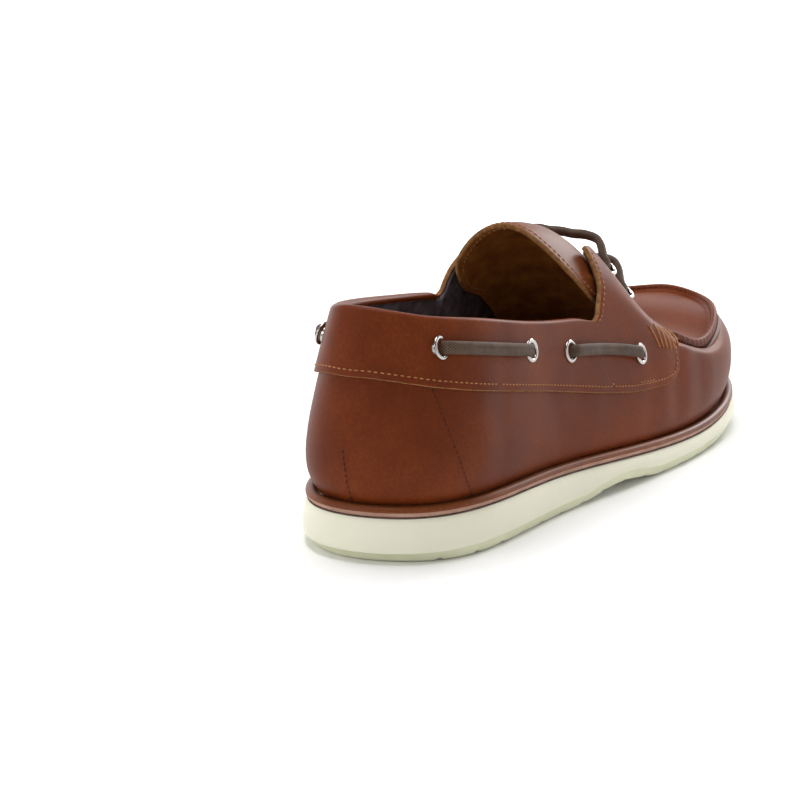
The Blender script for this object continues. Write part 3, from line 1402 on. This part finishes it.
@dataclass
class Sole:
    """Cup sole, tread, piping and sock."""

    finishes: Finishes
    rand_height: float = 3.8
    arch_rise: float = 3.0
    toe_spring: float = 8.5
    tread: float = 4.0
    flare: float = 1.2
    side_step: float = 1.6
    heel_step: float = 4.4
    round_off: float = 0.8
    flat_heel: float = 0.34
    flat_ball: tuple[float, float] = (0.56, 0.63)
    channel_depth: float = 0.7
    channel_pitch: float = 15.0
    insole_thick: float = 3.0
    gap: float = 0.3
    around: Array = field(default_factory=lambda: np.linspace(0, 2, 600, endpoint=False))

    def ground(self, around: Array) -> Array:
        """Bottom of the sole above the floor."""
        share = LAST.share(around)
        waist = np.clip((share - self.flat_heel) / (self.flat_ball[0] - self.flat_heel), 0, 1)
        toe = np.clip((share - self.flat_ball[1]) / (1 - self.flat_ball[1]), 0, 1)
        return self.arch_rise * np.sin(np.pi * waist) ** 2 + self.toe_spring * toe ** 2

    def channel(self, around: Array) -> Array:
        """Depth of the cross channels, cut up from the ground."""
        y = LAST.y_at(LAST.share(around))
        offset = self.channel_pitch / 2 - LAST.heel_seat % self.channel_pitch - LAST.heel_seat
        near = np.mod(y - offset + self.channel_pitch / 2, self.channel_pitch) - self.channel_pitch / 2
        live = (y > -LAST.heel_seat + 10) & (y < LAST.length * 0.92 - LAST.heel_seat)
        return np.where(live, self.channel_depth * (1 - smooth(np.abs(near), 0.8, 1.2)), 0)

    def build(self) -> None:
        """Builds the pieces of the sole."""
        self._outsole()
        self._rand()
        self._insole()

    @staticmethod
    def _rings(around: Array, profile: Sequence[tuple[Array | float, Array]]) -> Array:
        """Rings round the shoe, each at its inset from the sole's edge and its height."""
        rings = []
        for inset, z in profile:
            x, y = LAST.edge(around, inset + np.zeros_like(around))
            rings.append(np.stack([x, y, z], -1))
        return np.array(rings)

    def _outsole(self) -> None:
        """Rubber body with a stepped-in tread unit."""
        heel = 1 - smooth(LAST.share(self.around), 0, 0.1)
        step = self.side_step + (self.heel_step - self.side_step) * heel
        ground = self.ground(self.around)
        cut = ground + self.channel(self.around)
        top = LAST.curves["foot"](self.around) - self.rand_height
        ledge = ground + self.tread
        r, f = self.round_off, self.flare
        rows = [(step + 8, ground), (step + r - f, cut), (step + 0.3 * r - f, cut + 0.3 * r),
                (step - f, np.maximum(ground + r, cut)), (step - f, ledge - 1.3), (step - f - 0.2, ledge - 0.5),
                (0.5 * (step - f) + 0.1, ledge - 0.15), (0.5 * r - f, ledge), (0.15 * r - f, ledge + 0.15 * r),
                (-f, ledge + 0.6 * r)]
        for share in (0.12, 0.24, 0.36, 0.5, 0.65, 0.8):
            rows.append((-f + f * smooth(share, 0.25, 1.0), ledge + share * (top - ledge) + 0.6 * r))
        rows += [(0.25 * r, top - 0.4 * r), (0.75 * r, top), (3.5, top)]
        slots = np.array([1] * 5 + [0] * (len(rows) - 6))
        piece = ring_mesh("rubber_sole", self._rings(self.around, rows),
                          [self.finishes["rubber"], self.finishes["tread"]], slots=slots)
        finish_piece(piece, "sole_rubber", "outsole")

    def _rand(self) -> None:
        """Leather piping on the sole's edge, over a thin line of cement."""
        width, tall = LAST.rand_width + self.gap, self.rand_height + 0.25
        angle = np.linspace(0, 2 * np.pi, 20, endpoint=False)
        base = LAST.curves["foot"](self.around) - self.rand_height
        rows = [(width / 2 * (1 - np.cos(a)) - 0.15, base + 0.15 + tall / 2 * (1 + np.sin(a))) for a in angle]
        slots = (np.sin(angle + np.pi / len(angle)) < -0.1) & (np.cos(angle) > -0.3)
        piece = ring_mesh("rand_piping", self._rings(self.around, rows),
                          [self.finishes["rand"], self.finishes["rand_low"]], closed=True, slots=slots)
        finish_piece(piece, "rand_leather", "rand")
        rows = [(inset, base + z) for inset, z in (
            (0.7, -self.gap), (0.45, -0.05), (0.45, 0.3), (2.5, 0.4), (2.5, -self.gap))]
        piece = ring_mesh("cement_line", self._rings(self.around, rows), [self.finishes["cement"]], closed=True)
        finish_piece(piece, "rand_leather")

    def _insole(self) -> None:
        """Leather sock."""
        around, thick = self.around[::2], self.insole_thick
        inset = LAST.rand_width + 2.2 + self.gap
        base = LAST.curves["foot"](around) - self.rand_height + self.gap
        rows = [(inset + extra, base + up) for extra, up in (
            (0.0, 0.0), (0.0, thick - 0.7), (0.25, thick - 0.2), (0.8, thick), (9.0, thick - 0.2),
            (20.0, thick - 0.4))]
        piece = ring_mesh("sock", self._rings(around, rows), [self.finishes["insole"]])
        finish_piece(piece, "insole_leather", "insole")


@dataclass
class Lace:
    """Eyelets, the lace along the collar and across the throat, and the bow."""

    finishes: Finishes
    hide: Hide
    width: float = 4.8
    thick: float = 2.4
    thick_top: float = 3.4
    lift: float = 0.1
    seat: float = 1.98
    flange_rise: float = 0.6
    toe_lead: float = 1.5
    side_middle: float = 0.78
    shoulders: tuple[float, float] = (2.2, 2.7)
    middles: tuple[float, float] = (1.55, 1.5)
    lead: tuple[tuple[float, float], ...] = ((0, -0.7), (0.1, 0.1), (1.1, 0.72), (3.3, 1.0))

    def eyelets(self) -> None:
        """Sets the twelve eyelets."""
        names, ways = [], []
        for side in Side:
            for kind, places in (("", SIDE_EYELETS), ("wing_", WING_EYELETS)):
                for k, (around, high) in enumerate(places, 1):
                    names.append(f"eyelet_{kind}{side.value}_{k}")
                    ways.append((side.turn(around), high))
        way = np.array(ways)
        centres, ups = self.hide.settle(LAST.skin(way[:, 0], way[:, 1]))
        centres = centres + ups * self.seat
        alongs = np.tile([0.0, 1.0, 0.0], (len(way), 1))
        piece = EyeletSet().lay("eyelet_rings", centres, ups, alongs, self.finishes["nickel"])
        finish_piece(piece, "eyelet_metal", *names)

    def _bar(self, name: str, start: tuple[float, float], end: tuple[float, float], shoulder: float,
             middle: float, node: str) -> None:
        """Lace out of one eyelet and into another.

        Args:
            name: name of the piece.
            start: way round and height of the first eyelet.
            end: the same for the second.
            shoulder: height near the eyelets, as a share of the height over them.
            middle: the same halfway.
            node: the solid that it stands for.
        """
        rest = self.seat + self.flange_rise + self.lift + self.thick / 2
        landing = (2 - end[0], 3 - end[1]) if end[1] > 1.5 else end
        a, b = LAST.skin(*start), LAST.skin(*end)
        up_a, up_b = LAST.normal(*start), LAST.normal(*landing)
        length = float(np.linalg.norm(b - a))
        leads = [(on / length, out) for on, out in self.lead]
        last = leads[-1][0]
        between = []
        for i in range(7):
            t = last + (1 - 2 * last) * (i + 1) / 8
            risen = 1 + (shoulder - 1) * float(smooth(min(t, 1 - t), 0.04, 0.22))
            between.append((t, risen + (middle - risen) * float(smooth(min(t, 1 - t), 0.2, 0.42))))
        early = self.toe_lead / length if middle < 1 else 0.0
        stops = [*leads, *between, *[(1 - t - early * (1 - t / last), out) for t, out in reversed(leads)]]
        t = np.array([s[0] for s in stops])
        out = np.array([s[1] for s in stops])
        ups = unit(up_a * (1 - t[:, None]) + up_b * t[:, None])
        on, _ = self.hide.settle(LAST.skin(start[0] + (end[0] - start[0]) * t,
                                           start[1] + (end[1] - start[1]) * t))
        line = fine_line(on + ups * (rest * out)[:, None], 0.7)
        side = np.cross(b - a, up_a + up_b)
        ahead = unit(np.gradient(line, axis=0))
        turned = unit(np.cross(side, ahead))
        thick = self.thick if middle < 1 else self.thick_top
        piece = sweep(name, line, turned, self.width, thick, self.finishes["lace"])
        finish_piece(piece, "lace_cord", node)

    def bars(self) -> None:
        """Lays the lace between the eyelets."""
        heel, waist, middle, front = SIDE_EYELETS
        for side in Side:
            for name, start, stop in (("rear", heel, waist), ("front", middle, front)):
                self._bar(f"lace_{side.value}_{name}", (side.turn(start[0]), start[1]),
                          (side.turn(stop[0]), stop[1]), 1.0, self.side_middle, f"lace_bar_{side.value}_{name}")
        tops = zip(("rear", "front"), WING_EYELETS, self.shoulders, self.middles)
        for name, (around, high), shoulder, top in tops:
            self._bar(f"lace_top_{name}", (around, high), (around, 3 - high), shoulder, top,
                      f"lace_bar_top_{name}")

    def bow(self) -> None:
        """Ties the bow: two loops, two ends and the knot."""
        routes = {
            "loop_outer": ((5.8, 142.8, 78.8), (9, 144, 78.2), (12, 146.6, 76.4), (14.4, 150, 74.4),
                           (16.4, 153.4, 71.8), (17.6, 157, 68), (17.2, 160.4, 64.4), (15, 162.6, 61.8),
                           (12.2, 162.4, 62.4), (10.4, 159.8, 66), (9.8, 156.2, 69.8), (9.2, 152.6, 73),
                           (8.4, 149, 74.8), (7, 145.8, 75.8)),
            "loop_inner": ((-5.8, 142.8, 78.8), (-9, 144, 78.4), (-12, 146.6, 76.8), (-14.6, 150, 74.8),
                           (-16.8, 153.6, 72.2), (-18, 157.4, 68.6), (-17.4, 161, 64.8), (-15, 163.4, 62),
                           (-12.2, 162.8, 62.6), (-10.6, 160, 66.2), (-10, 156.4, 70), (-9.4, 152.6, 73),
                           (-8.6, 149, 74.8), (-7, 145.8, 75.8)),
            "end_outer": ((2.3, 146.7, 77.6), (3, 150.4, 75.4), (3.8, 154.4, 72.8), (4.6, 158, 69.8),
                          (5.4, 161.2, 65.8), (6.4, 164.6, 61.8), (7.4, 168.8, 58.8), (8.6, 173.6, 56.4),
                          (9.8, 178.6, 54.4)),
            "end_inner": ((-2.3, 146.7, 77.6), (-3, 150.4, 75.4), (-3.8, 154.6, 73), (-4.4, 158.4, 70),
                          (-5, 161.8, 66), (-5.8, 165.4, 62), (-6.6, 170, 59), (-7.4, 175.2, 56.6),
                          (-8, 180.8, 54.6)),
        }
        knot = self._knot()
        for name, route in routes.items():
            line = fine_line(np.array(route, float), 0.8)
            ups = np.tile([0.0, -0.45, 0.9], (len(line), 1))
            piece = sweep(f"lace_{name}_woven", line, ups, self.width, self.thick, self.finishes["lace"])
            finish_piece(piece, "lace_cord", f"lace_{name}")

    def _knot(self) -> bpy.types.Object:
        """The knot: two turns of lace crossed over each other."""
        centre, half = np.array([0, 142.4, 77.9]), np.array([4.6, 3.4, 2.7])
        t = np.linspace(0, 2 * np.pi, 60)
        turn = np.stack([0.55 * half[0] * np.sin(t) + 1.2 * np.sin(2 * t), half[1] * np.cos(t),
                         half[2] * np.sin(t)], 1)
        ups = unit(turn * [0.3, 1, 1])
        piece = sweep("lace_knot_woven", centre + turn, ups, self.width, 1.9, self.finishes["lace"])
        return finish_piece(piece, "lace_cord", "lace_knot")


@dataclass(frozen=True)
class Lamp:
    """Round soft light: where it stands and what it points at in metres, how wide it is, and its watts."""

    name: str
    place: tuple[float, float, float]
    aim: tuple[float, float, float]
    size: float
    power: float


@dataclass(frozen=True)
class Studio:
    """Pale floor, soft light and the camera at the photograph's angle, in millimetres."""

    position: tuple[float, float, float] = (380.28, -631.20, 226.06)
    target: tuple[float, float, float] = (0.0, 84.0, 45.0)
    shown_at: tuple[float, float] = (507.7, 371.5)
    focal_px: float = 2090.0
    frame_px: float = 800.0
    sensor: float = 36.0
    room_light: float = 0.22
    lamps: tuple[Lamp, ...] = (Lamp("top_light", (-0.15, 0.1, 1.2), (0, 0.1, 0), 0.9, 12.0),
                               Lamp("side_light", (-0.6, -1.1, 0.8), (0, 0.05, 0.03), 0.6, 3.2),
                               Lamp("toe_light", (0.1, 1.5, 0.75), (0, 0.1, 0.05), 0.6, 9.0))
    flat: float = 2400.0
    curve: float = 700.0
    wall: float = 1900.0
    below: float = 0.15

    def camera(self) -> None:
        """Places the camera so that the target shows at its place in the picture."""
        back = unit(np.array(self.position) - np.array(self.target))
        centre = self.frame_px / 2
        pan = math.atan2(self.shown_at[0] - centre, self.focal_px)
        tilt = math.atan2(centre - self.shown_at[1], self.focal_px)
        forward = -back
        forward = np.array([forward[0] * math.cos(pan) - forward[1] * math.sin(pan),
                            forward[0] * math.sin(pan) + forward[1] * math.cos(pan), forward[2]])
        right = unit(np.cross(forward, [0, 0, 1]))
        up = np.cross(right, forward)
        aim = forward * math.cos(tilt) - up * math.sin(tilt)
        up = np.cross(right, aim)
        data = bpy.data.cameras.new("camera")
        data.sensor_width = self.sensor
        data.lens = self.focal_px / self.frame_px * self.sensor
        data.clip_start, data.clip_end = 0.01, 50
        camera = bpy.data.objects.new("camera", data)
        bpy.context.scene.collection.objects.link(camera)
        turn = Matrix((right, up, -aim)).transposed().to_4x4()
        camera.matrix_world = Matrix.Translation(Vector(self.position) * MM) @ turn
        bpy.context.scene.camera = camera

    def lights(self) -> None:
        """A white room: large soft light overhead, one behind the camera's left and one beyond the toe."""
        world = bpy.data.worlds.new("white_room")
        world.use_nodes = True
        background = world.node_tree.nodes["Background"]
        background.inputs[0].default_value = (1, 1, 1, 1)
        background.inputs[1].default_value = self.room_light
        bpy.context.scene.world = world
        for lamp in self.lamps:
            data = bpy.data.lights.new(lamp.name, "AREA")
            data.shape = "DISK"
            data.size = lamp.size
            data.energy = lamp.power
            light = bpy.data.objects.new(lamp.name, data)
            bpy.context.scene.collection.objects.link(light)
            turn = (Vector(lamp.aim) - Vector(lamp.place)).to_track_quat("-Z", "Y").to_matrix().to_4x4()
            light.matrix_world = Matrix.Translation(lamp.place) @ turn

    def floor(self) -> None:
        """White paper floor that curves up into a wall all round, lit from behind away from the shoe."""
        profile = [(400.0, 0.0), (900.0, 0.0), (self.flat, 0.0)]
        profile += [(self.flat + self.curve * math.sin(a), self.curve - self.curve * math.cos(a))
                    for a in np.linspace(0.1, math.pi / 2, 12)]
        profile.append((self.flat + self.curve, self.wall))
        angle = np.linspace(0, 2 * np.pi, 96, endpoint=False)
        rings = np.array([np.stack([r * np.cos(angle), self.target[1] + r * np.sin(angle),
                                    np.full_like(angle, z - self.below)], -1) for r, z in profile])
        faces = [list(range(len(angle)))]
        faces += [face[:1] + face[:0:-1] for face in grid_faces(len(rings), len(angle))]
        paper = Paper("white_paper", "#fbfbfb", "#f9f9f9", 0.85, 400.0, 1.0, 0.0)
        mesh_object("floor", rings.reshape(-1, 3), faces, [paper.make()])


def main() -> None:
    """Builds the shoe and the studio."""
    logging.basicConfig(level=logging.INFO, format="%(message)s")
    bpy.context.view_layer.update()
    studio = Studio()
    studio.camera()
    finishes = Finishes()
    hide = Hide()
    lace = Lace(finishes, hide)
    lace.bow()
    lace.bars()
    lace.eyelets()
    Upper(finishes, hide).build()
    Sole(finishes).build()
    studio.floor()
    studio.lights()
    bpy.context.scene.view_settings.view_transform = "Standard"


if __name__ == "__main__":
    main()
